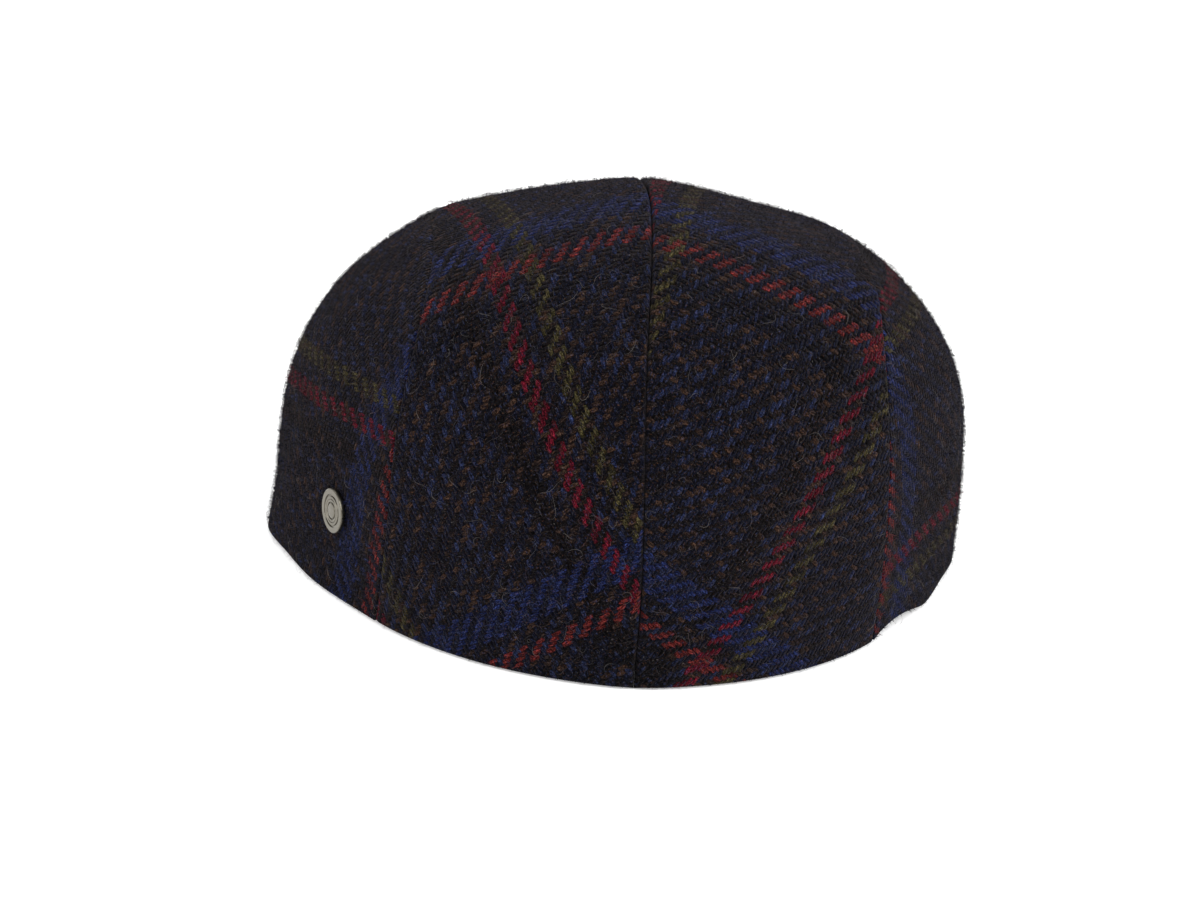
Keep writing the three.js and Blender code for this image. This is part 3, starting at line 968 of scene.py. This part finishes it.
def many_closed(name, points, faces, shade, dyed, yarns):
    """One mesh of many like closed fibres: points by fibre, faces of one fibre."""
    count, each = points.shape[:2]
    points[..., 2] = np.maximum(points[..., 2], FLOOR_CLEARANCE)
    mesh = bpy.data.meshes.new(name)
    mesh.vertices.add(count * each)
    mesh.vertices.foreach_set("co", (points * MM).ravel())
    corners = (np.arange(count)[:, None, None] * each + np.asarray(faces)[None]).ravel()
    total = count * len(faces)
    mesh.loops.add(total * 3)
    mesh.loops.foreach_set("vertex_index", corners)
    mesh.polygons.add(total)
    mesh.polygons.foreach_set("loop_start", np.arange(total) * 3)
    mesh.update(calc_edges=True)
    layer = mesh.uv_layers.new(name="shade")
    uv = np.zeros((total * 3, 2))
    uv[:, 0] = np.repeat(shade, len(faces) * 3)
    uv[:, 1] = dyed
    layer.data.foreach_set("uv", uv.ravel())
    layer = mesh.uv_layers.new(name="cloth")
    layer.data.foreach_set("uv", np.repeat(yarns, len(faces) * 3, axis=0).ravel())
    mesh.validate()
    made = bpy.data.objects.new(name, mesh)
    bpy.context.collection.objects.link(made)
    return made


def nap(name, panel, density, seed):
    """Short fibres that stand out of the cloth, each a thin closed spike."""
    draw = np.random.default_rng(seed)
    foot, outward, ahead, beside, at = surface_picks(panel, density, draw)
    count = len(foot)
    length = draw.uniform(*SPIKE_LENGTH, (count, 1)) * draw.random((count, 1)) ** 0.5
    lean = draw.uniform(0, 2 * math.pi, (count, 1))
    rise = draw.uniform(*SPIKE_RISE, (count, 1))
    along = np.cos(lean) * ahead + np.sin(lean) * beside
    tip = foot + length * unit(along * (1 - rise) + outward * rise)
    points = [tip]
    for k in range(3):
        turn = lean + 2 * math.pi * k / 3
        way = np.cos(turn) * ahead + np.sin(turn) * beside
        points.append(foot - SPIKE_ROOT * outward + SPIKE_FOOT * way)
    faces = [(0, 1, 2), (0, 2, 3), (0, 3, 1), (1, 3, 2)]
    shade = draw.random(count) ** 1.3
    return many_closed(name, np.stack(points, 1), faces, shade, NAP_DYED, at)


def curls(name, panel, seed):
    """Longer stray fibres that lie curled on the cloth, each a thin closed tube."""
    draw = np.random.default_rng(seed)
    foot, outward, ahead, beside, at = surface_picks(panel, CURLS_PER_MM2, draw)
    count = len(foot)
    length = draw.uniform(*CURL_LENGTH, (count, 1))
    start = draw.uniform(0, 2 * math.pi, (count, 1))
    bend = draw.normal(0, CURL_BEND, (count, 1))
    lift = draw.uniform(*CURL_LIFT, (count, 1)) * draw.random((count, 1)) ** 0.5
    along = np.zeros((count, 1))
    aside = np.zeros((count, 1))
    rings = []
    for step in range(CURL_STEPS):
        k = step / (CURL_STEPS - 1)
        angle = start + bend * k + 0.5 * np.sin(5 * k + start * 3)
        over = np.sin(angle) * ahead - np.cos(angle) * beside
        rise = CURL_CLEARANCE + lift * math.sin(math.pi * k)
        centre = foot + along * ahead + aside * beside + rise * outward
        radius = CURL_RADIUS * (1 - 0.6 * abs(2 * k - 1))
        for turn in (0, 2 * math.pi / 3, 4 * math.pi / 3):
            rings.append(centre + radius * (math.cos(turn) * over + math.sin(turn) * outward))
        along = along + length / CURL_STEPS * np.cos(angle)
        aside = aside + length / CURL_STEPS * np.sin(angle)
    faces = [(0, 2, 1)]
    for step in range(CURL_STEPS - 1):
        for k in range(3):
            a = 3 * step + k
            b = 3 * step + (k + 1) % 3
            faces += [(a, b, b + 3), (a, b + 3, a + 3)]
    last = 3 * (CURL_STEPS - 1)
    faces.append((last, last + 1, last + 2))
    shade = 0.35 + 0.65 * draw.random(count) ** 1.1
    return many_closed(name, np.stack(rings, 1), faces, shade, STRAY_DYED, at)


def finish_piece(obj, surface, node=None):
    obj.data.materials.clear()
    obj.data.materials.append(surface)
    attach(obj, BODY)
    if node:
        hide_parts(node)


# Camera of the photograph: its angles in degrees and sizes in metres
CAMERA_ELEVATION = 18.4
CAMERA_YAW = 3.9
CAMERA_ROLL = 3.8
CAMERA_DISTANCE = 0.8
CAMERA_TARGET = Vector((0.0053, 0.028, 0.0277))
CAMERA_LENS = 90.57
SENSOR_WIDTH = 36

# Soft lights, aimed at the cap: name, place in metres, width in metres and power in watts
LIGHTS = (
    ("key_light", (-0.5, 1.3, 1.3), 1.4, 22),
    ("fill_light", (1.4, 0.7, 0.8), 1.2, 9),
    ("side_light", (-1.4, 0.3, 0.7), 1.2, 8),
    ("far_light", (0.1, -1.2, 1.4), 1.4, 14),
)
LIGHT_TARGET = Vector((0, 0.02, 0.04))
SKY_STRENGTH = 0.75
FLOOR_SIZE = 12
FLOOR_DROP = 0.0004


def camera():
    e, yaw, roll = (math.radians(v) for v in (CAMERA_ELEVATION, CAMERA_YAW, CAMERA_ROLL))
    back = Vector((math.sin(yaw) * math.cos(e), math.cos(yaw) * math.cos(e), math.sin(e)))
    right = (-back).cross(Vector((0, 0, 1))).normalized()
    above = right.cross(-back)
    x = math.cos(roll) * right + math.sin(roll) * above
    y = math.cos(roll) * above - math.sin(roll) * right
    deselect()
    bpy.ops.object.camera_add()
    made = bpy.context.object
    made.name = "photo_camera"
    made.data.sensor_width = SENSOR_WIDTH
    made.data.lens = CAMERA_LENS
    made.data.clip_start = 0.01
    place = Matrix((x, y, back)).transposed().to_4x4()
    place.translation = CAMERA_TARGET + CAMERA_DISTANCE * back
    made.matrix_world = place
    bpy.context.scene.camera = made


def soft_box(name, place, size, power):
    deselect()
    bpy.ops.object.light_add(type="AREA", location=place)
    made = bpy.context.object
    made.name = name
    made.data.shape = "DISK"
    made.data.size = size
    made.data.energy = power
    made.rotation_euler = (LIGHT_TARGET - Vector(place)).to_track_quat("-Z", "Y").to_euler()


def studio():
    deselect()
    bpy.ops.mesh.primitive_plane_add(size=FLOOR_SIZE, location=(0, 0, -FLOOR_DROP))
    floor = bpy.context.object
    floor.name = "floor"
    floor.data.materials.append(floor_material())
    world = bpy.data.worlds.new("Pale studio")
    bpy.context.scene.world = world
    world.use_nodes = True
    sky = world.node_tree.nodes["Background"]
    sky.inputs["Color"].default_value = (1, 1, 1, 1)
    sky.inputs["Strength"].default_value = SKY_STRENGTH
    bpy.context.scene.view_settings.view_transform = "Standard"
    for light in LIGHTS:
        soft_box(*light)


camera()
studio()
top_panel("top_left", 1, 1)
top_panel("top_right", -1, 2)
side_panel("side_left", 1, 3)
side_panel("side_right", -1, 4)
peak_panel()
badge_piece = badge()

twill = twill_group()
tweed = tweed_material(twill)
wool = wool_material(twill)
for number, (name, panel) in enumerate(panels.items()):
    node = "peak" if name == "peak" else "crown_" + name
    finish_piece(panel["obj"], tweed, node)
    finish_piece(nap(node + "_nap", panel, SPIKES_PER_MM2[name], NAP_SEED + number), wool)
    finish_piece(curls(node + "_stray_fibres", panel, CURL_SEED + number), wool)
finish_piece(badge_piece, badge_material(), "badge")

for name, panel in panels.items():
    if name == "peak":
        continue
